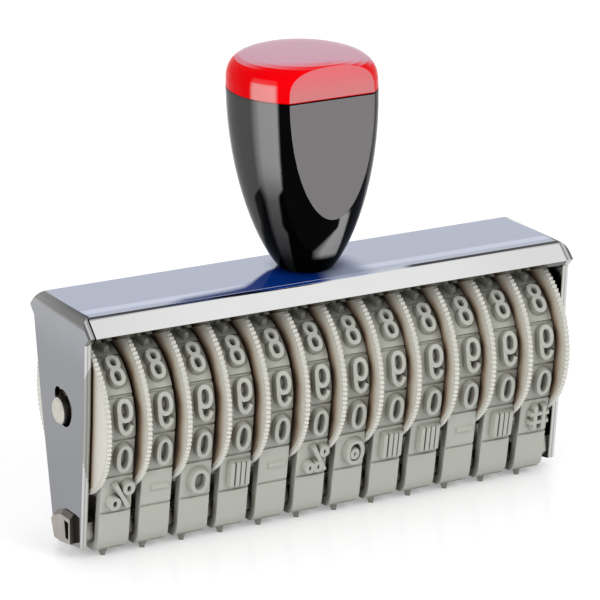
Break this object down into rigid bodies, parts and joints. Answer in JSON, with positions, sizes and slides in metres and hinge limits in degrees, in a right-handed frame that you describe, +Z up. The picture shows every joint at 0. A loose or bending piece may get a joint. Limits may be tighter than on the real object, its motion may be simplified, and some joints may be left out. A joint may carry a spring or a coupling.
{
  "type": "numbering machine",
  "caption": "Hand numbering stamp: rubber type bands looped over knurled thumbwheels and a bridge, in a chromed sheet-steel casing under a pear-shaped handle.",
  "frame": {"origin": "middle of the print plane, under the centre of the overall box", "axes": "+X along the casing, from the first thumbwheel to the end disc; -Y is the front; +Z is up, from the type to the handle"},
  "size_m": [0.1022, 0.032, 0.0887],
  "materials": {
    "chromed_steel": "bright chrome over pressed sheet steel",
    "bright_steel": "drawn steel, lightly brushed",
    "spring_steel": "nickelled spring steel, a little dull",
    "ivory_plastic": "moulded, satin",
    "grey_rubber": "moulded, matt",
    "black_plastic": "polished moulding",
    "red_plastic": "polished moulding"
  },
  "bodies": {
    "frame": {"casing": "chromed_steel", "shaft": "bright_steel", "bridge": "bright_steel", "clip_left": "spring_steel", "clip_right": "spring_steel", "band_01": "grey_rubber", "band_02": "grey_rubber", "band_03": "grey_rubber", "band_04": "grey_rubber", "band_05": "grey_rubber", "band_06": "grey_rubber", "band_07": "grey_rubber", "band_08": "grey_rubber", "band_09": "grey_rubber", "band_10": "grey_rubber", "band_11": "grey_rubber", "band_12": "grey_rubber", "handle_screw": "bright_steel", "handle_body": "black_plastic", "handle_cap": "red_plastic"},
    "thumbwheel_01": {"wheel_01": "ivory_plastic"},
    "thumbwheel_02": {"wheel_02": "ivory_plastic"},
    "thumbwheel_03": {"wheel_03": "ivory_plastic"},
    "thumbwheel_04": {"wheel_04": "ivory_plastic"},
    "thumbwheel_05": {"wheel_05": "ivory_plastic"},
    "thumbwheel_06": {"wheel_06": "ivory_plastic"},
    "thumbwheel_07": {"wheel_07": "ivory_plastic"},
    "thumbwheel_08": {"wheel_08": "ivory_plastic"},
    "thumbwheel_09": {"wheel_09": "ivory_plastic"},
    "thumbwheel_10": {"wheel_10": "ivory_plastic"},
    "thumbwheel_11": {"wheel_11": "ivory_plastic"},
    "thumbwheel_12": {"wheel_12": "ivory_plastic"},
    "loose_disc": {"end_disc": "ivory_plastic"}
  },
  "joints": [
    {"name": "wheel_01_turn", "type": "hinge", "parent": "frame", "child": "thumbwheel_01", "pos_m": [0, 0, 0.0275], "axis": [1, 0, 0], "continuous": true},
    {"name": "wheel_02_turn", "type": "hinge", "parent": "frame", "child": "thumbwheel_02", "pos_m": [0, 0, 0.0275], "axis": [1, 0, 0], "continuous": true},
    {"name": "wheel_03_turn", "type": "hinge", "parent": "frame", "child": "thumbwheel_03", "pos_m": [0, 0, 0.0275], "axis": [1, 0, 0], "continuous": true},
    {"name": "wheel_04_turn", "type": "hinge", "parent": "frame", "child": "thumbwheel_04", "pos_m": [0, 0, 0.0275], "axis": [1, 0, 0], "continuous": true},
    {"name": "wheel_05_turn", "type": "hinge", "parent": "frame", "child": "thumbwheel_05", "pos_m": [0, 0, 0.0275], "axis": [1, 0, 0], "continuous": true},
    {"name": "wheel_06_turn", "type": "hinge", "parent": "frame", "child": "thumbwheel_06", "pos_m": [0, 0, 0.0275], "axis": [1, 0, 0], "continuous": true},
    {"name": "wheel_07_turn", "type": "hinge", "parent": "frame", "child": "thumbwheel_07", "pos_m": [0, 0, 0.0275], "axis": [1, 0, 0], "continuous": true},
    {"name": "wheel_08_turn", "type": "hinge", "parent": "frame", "child": "thumbwheel_08", "pos_m": [0, 0, 0.0275], "axis": [1, 0, 0], "continuous": true},
    {"name": "wheel_09_turn", "type": "hinge", "parent": "frame", "child": "thumbwheel_09", "pos_m": [0, 0, 0.0275], "axis": [1, 0, 0], "continuous": true},
    {"name": "wheel_10_turn", "type": "hinge", "parent": "frame", "child": "thumbwheel_10", "pos_m": [0, 0, 0.0275], "axis": [1, 0, 0], "continuous": true},
    {"name": "wheel_11_turn", "type": "hinge", "parent": "frame", "child": "thumbwheel_11", "pos_m": [0, 0, 0.0275], "axis": [1, 0, 0], "continuous": true},
    {"name": "wheel_12_turn", "type": "hinge", "parent": "frame", "child": "thumbwheel_12", "pos_m": [0, 0, 0.0275], "axis": [1, 0, 0], "continuous": true},
    {"name": "end_disc_turn", "type": "hinge", "parent": "frame", "child": "loose_disc", "pos_m": [0, 0, 0.0275], "axis": [1, 0, 0], "continuous": true}
  ]
}
